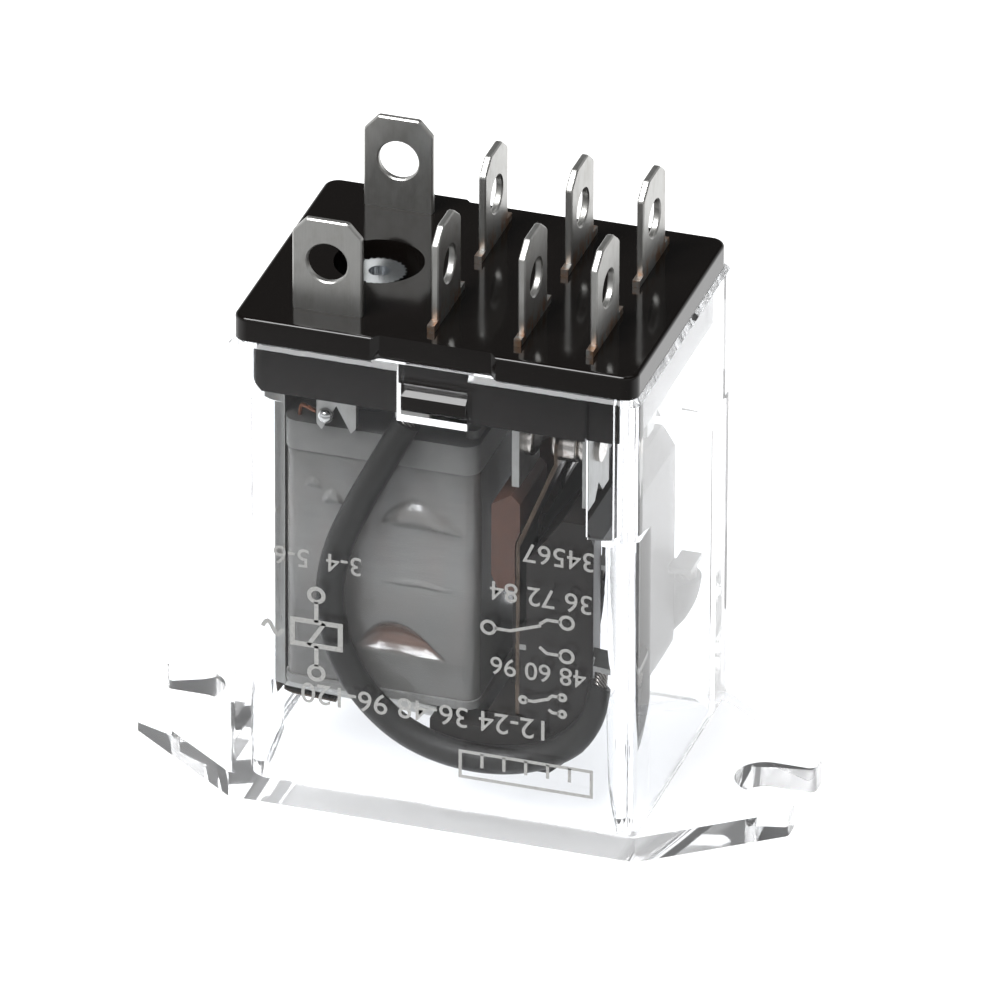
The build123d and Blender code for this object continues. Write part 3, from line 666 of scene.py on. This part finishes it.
def diagram_strokes():
    """Wiring diagram as plain strokes: coil, change-over contacts, alternating-current wave, ruler."""
    strokes = []

    def draw(mark, points, lines=1.0, closed=False):
        x, z, size = mark
        strokes.append(([(x + size * u, z + size * v) for u, v in points], lines * PRINT_LINE, closed))

    draw(COIL_MARK, [(-1.5, -0.8), (1.5, -0.8), (1.5, 0.8), (-1.5, 0.8)], COIL_LINE, True)
    draw(COIL_MARK, [(-0.5, -0.8), (0.5, 0.8)], LINK_LINE)
    for sign in (-1, 1):
        draw(COIL_MARK, [(0, sign * 0.8), (0, sign * 2.2)], LINK_LINE)
        draw(COIL_MARK, ring_points(0, sign * 2.65), LINK_LINE, True)
    for mark in CONTACT_MARKS:
        draw(mark, ring_points(0, 0), closed=True)
        draw(mark, [(0.45, 0), (1.5, 0), (3.6, 0.75)])
        for sign in (-1, 1):
            draw(mark, [(3.5, sign * 0.85), (4.0, sign * 1.25), (4.9, sign * 1.25)])
            draw(mark, ring_points(5.35, sign * 1.25), closed=True)
    middle, level, length, height = WAVE_MARK
    shares = [i / WAVE_STEPS for i in range(WAVE_STEPS + 1)]
    wave = [(middle + length * (s - 0.5), level + height * math.sin(2 * math.pi * s)) for s in shares]
    draw(PLAIN_MARK, wave, LINK_LINE)
    left, right, low, top, spaces = SCALE_MARK
    draw(PLAIN_MARK, [(left, low), (right, low), (right, top), (left, top)], closed=True)
    for i in range(1, spaces):
        at = left + (right - left) * i / spaces
        draw(PLAIN_MARK, [(at, top), (at, low + (top - low) * TICK_SHARE)])
    return strokes


def make_diagram(white, face_y):
    """The strokes as one mesh of thin raised lines."""
    verts, faces = [], []
    for points, width, closed in diagram_strokes():
        base = len(verts)
        borders = ribbon(points, width, closed)
        for left, right in borders:
            for spot, lift in ((left, PRINT_GAP), (right, PRINT_GAP), (right, PRINT_TOP), (left, PRINT_TOP)):
                verts.append((spot.x * MM, face_y - lift * MM, spot.y * MM))
        count = len(borders)
        for i in range(count if closed else count - 1):
            a, b = base + 4 * i, base + 4 * ((i + 1) % count)
            faces.extend((a + k, a + (k + 1) % 4, b + (k + 1) % 4, b + k) for k in range(4))
        if not closed:
            end = base + 4 * (count - 1)
            faces.append((base + 3, base + 2, base + 1, base))
            faces.append((end, end + 1, end + 2, end + 3))
    mesh = bpy.data.meshes.new("print_diagram")
    mesh.from_pydata(verts, [], faces)
    mesh.materials.append(white)
    mesh_piece("print_diagram", mesh, None, FIXED, smooth=False)


def make_number(index, digits, x, z, height, white, face_y):
    """One line of digits on the wall, upside down as the relay stands."""
    data = bpy.data.curves.new(f"print_number_{index}", "FONT")
    data.body = digits
    data.size = height * MM / DIGIT_SHARE
    data.align_x = "CENTER"
    data.align_y = "CENTER"
    data.offset = PRINT_BOLD * MM
    data.extrude = (PRINT_TOP - PRINT_GAP) * MM / 2
    data.materials.append(white)
    number = bpy.data.objects.new(f"print_number_{index}", data)
    upside_down = Matrix(((-1, 0, 0), (0, 0, -1), (0, -1, 0))).to_4x4()
    middle_y = face_y - (PRINT_TOP + PRINT_GAP) * MM / 2
    number.matrix_world = Matrix.Translation((x * MM, middle_y, z * MM)) @ upside_down
    bpy.context.scene.collection.objects.link(number)
    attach(number, FIXED)


def make_print():
    """All of the print, in one ink."""
    white = ink()
    face_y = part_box("clear_cover")[0].y
    make_diagram(white, face_y)
    for index, number in enumerate(PRINT_NUMBERS):
        make_number(index, *number, white, face_y)


make_tape()
for side_name, side_sign in (("front", -1), ("back", 1)):
    make_lead(side_name, side_sign)
make_hinge_leaf()
make_print()


# ---- light, floor and camera --------------------------------------------------------------------
def make_floor():
    """One large flat face just under the part."""
    mesh = bpy.data.meshes.new("floor")
    corners = [(x * FLOOR_REACH, y * FLOOR_REACH, 0) for x, y in ((-1, -1), (1, -1), (1, 1), (-1, 1))]
    mesh.from_pydata(corners, [], [(0, 1, 2, 3)])
    floor = bpy.data.objects.new("floor", mesh)
    floor.location.z = -FLOOR_DROP
    mesh.materials.append(pale_floor())
    bpy.context.scene.collection.objects.link(floor)


def soft_light(name, towards, distance, size, radiance):
    """A square soft box of one brightness, facing the relay from a direction."""
    data = bpy.data.lights.new(name, "AREA")
    data.shape = "SQUARE"
    data.size = size
    data.energy = radiance * math.pi * size * size
    lamp = bpy.data.objects.new(name, data)
    direction = Vector(towards).normalized()
    lamp.location = direction * distance + Vector(LIGHT_AIM)
    lamp.rotation_euler = direction.to_track_quat("Z", "Y").to_euler()
    bpy.context.scene.collection.objects.link(lamp)


def make_world():
    """A bright horizon under a dark sky."""
    world = bpy.data.worlds.new("studio")
    world.use_nodes = True
    tree = world.node_tree
    ray = add(tree, "ShaderNodeTexCoord")
    rise = add(tree, "ShaderNodeSeparateXYZ", Vector=ray.outputs["Generated"])
    sky = ramp(tree, rise.outputs["Z"], [(0.0, 0.9), (0.28, 0.75), (0.42, 0.07), (0.8, 0.07)])
    tree.links.new(sky, tree.nodes["Background"].inputs["Color"])
    bpy.context.scene.world = world


def make_camera():
    """Long lens, a little to the right of the front and above."""
    right = Vector((math.cos(CAMERA_TURN), math.sin(CAMERA_TURN), 0))
    ahead = Vector((-math.sin(CAMERA_TURN) * math.cos(CAMERA_RISE),
                    math.cos(CAMERA_TURN) * math.cos(CAMERA_RISE), -math.sin(CAMERA_RISE)))
    up = right.cross(ahead)
    cosine, sine = math.cos(CAMERA_ROLL), math.sin(CAMERA_ROLL)
    right, up = right * cosine + up * sine, up * cosine - right * sine
    data = bpy.data.cameras.new("camera")
    data.sensor_width = CAMERA_SENSOR
    data.lens = CAMERA_LENS
    data.clip_start, data.clip_end = CAMERA_CLIP
    camera = bpy.data.objects.new("camera", data)
    sideways, upwards = CAMERA_SHIFT
    spot = Vector(CAMERA_TARGET) - ahead * CAMERA_DISTANCE + right * sideways + up * upwards
    turned = Matrix((right, up, -ahead)).transposed().to_4x4()
    camera.matrix_world = Matrix.Translation(spot) @ turned
    bpy.context.scene.collection.objects.link(camera)
    bpy.context.scene.camera = camera


make_floor()
make_world()
for light in LIGHTS:
    soft_light(*light)
make_camera()
scene = bpy.context.scene
scene.view_settings.view_transform = "Standard"
scene.cycles.max_bounces = CLEAR_BOUNCES
scene.cycles.transmission_bounces = CLEAR_BOUNCES
scene.cycles.glossy_bounces = CLEAR_BOUNCES
scene.cycles.transparent_max_bounces = CLEAR_BOUNCES
